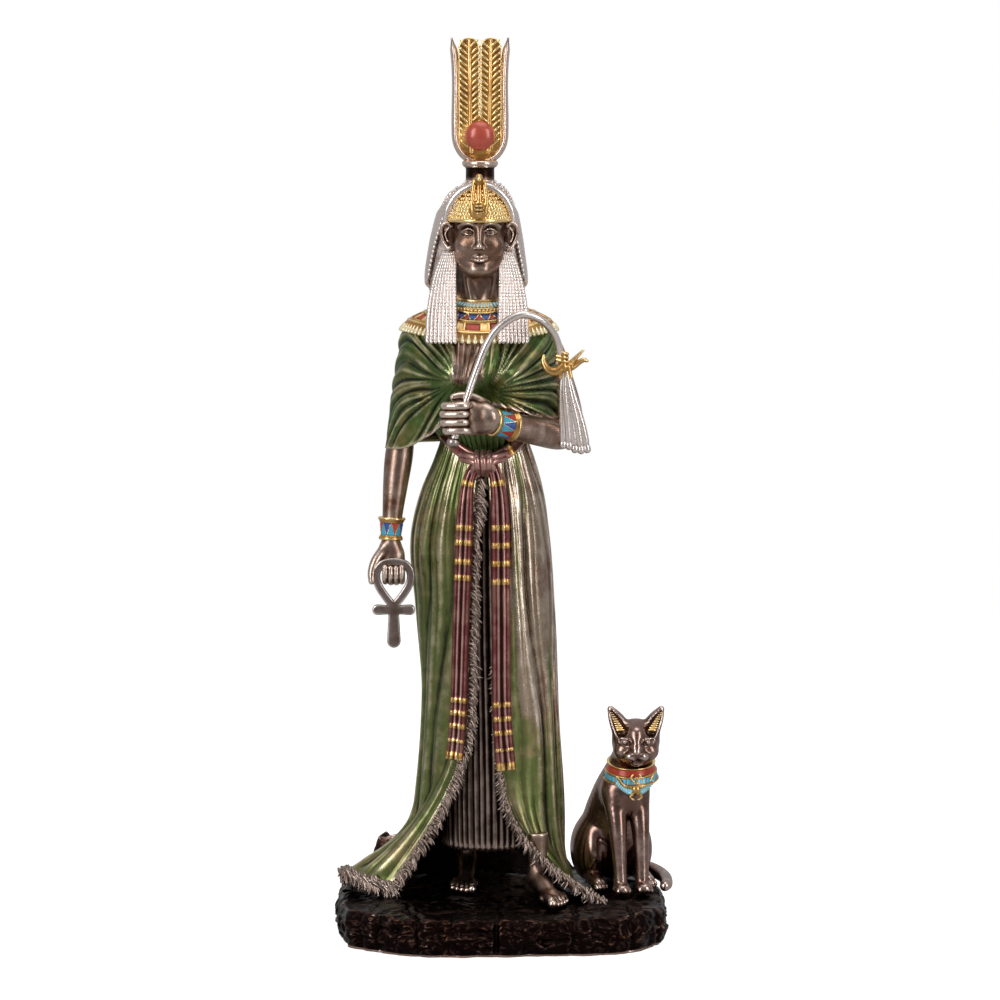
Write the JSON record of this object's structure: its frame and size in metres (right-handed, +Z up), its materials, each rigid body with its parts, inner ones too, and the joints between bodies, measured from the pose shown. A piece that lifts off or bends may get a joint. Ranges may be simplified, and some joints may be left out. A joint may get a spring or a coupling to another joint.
{
  "type": "Egyptian queen figurine with a seated cat",
  "caption": "Standing Egyptian queen figurine in draped robe, mantle and tall feathered crown, holding a flail and an ankh, with a seated cat on a rough stone base.",
  "frame": {"origin": "centre of the base's underside", "axes": "+Z up towards the crown, -Y the way she faces, +X towards the cat at her left hand side"},
  "size_m": [0.1135, 0.0888, 0.3],
  "materials": {
    "glazed_bronze": "green glaze over bronze, rubbed through on the folds",
    "dark_bronze": "dark hammered bronze with copper highlights",
    "gilt_bronze": "gilt and bronze, satin",
    "silvered_bronze": "silver brown bronze, satin",
    "polished_bronze": "polished brown bronze with a pinkish sheen"
  },
  "bodies": {
    "root": {"stone_base": "dark_bronze", "queen": "glazed_bronze", "crown": "gilt_bronze", "flail": "silvered_bronze", "ankh": "silvered_bronze", "cat": "polished_bronze"}
  },
  "joints": []
}
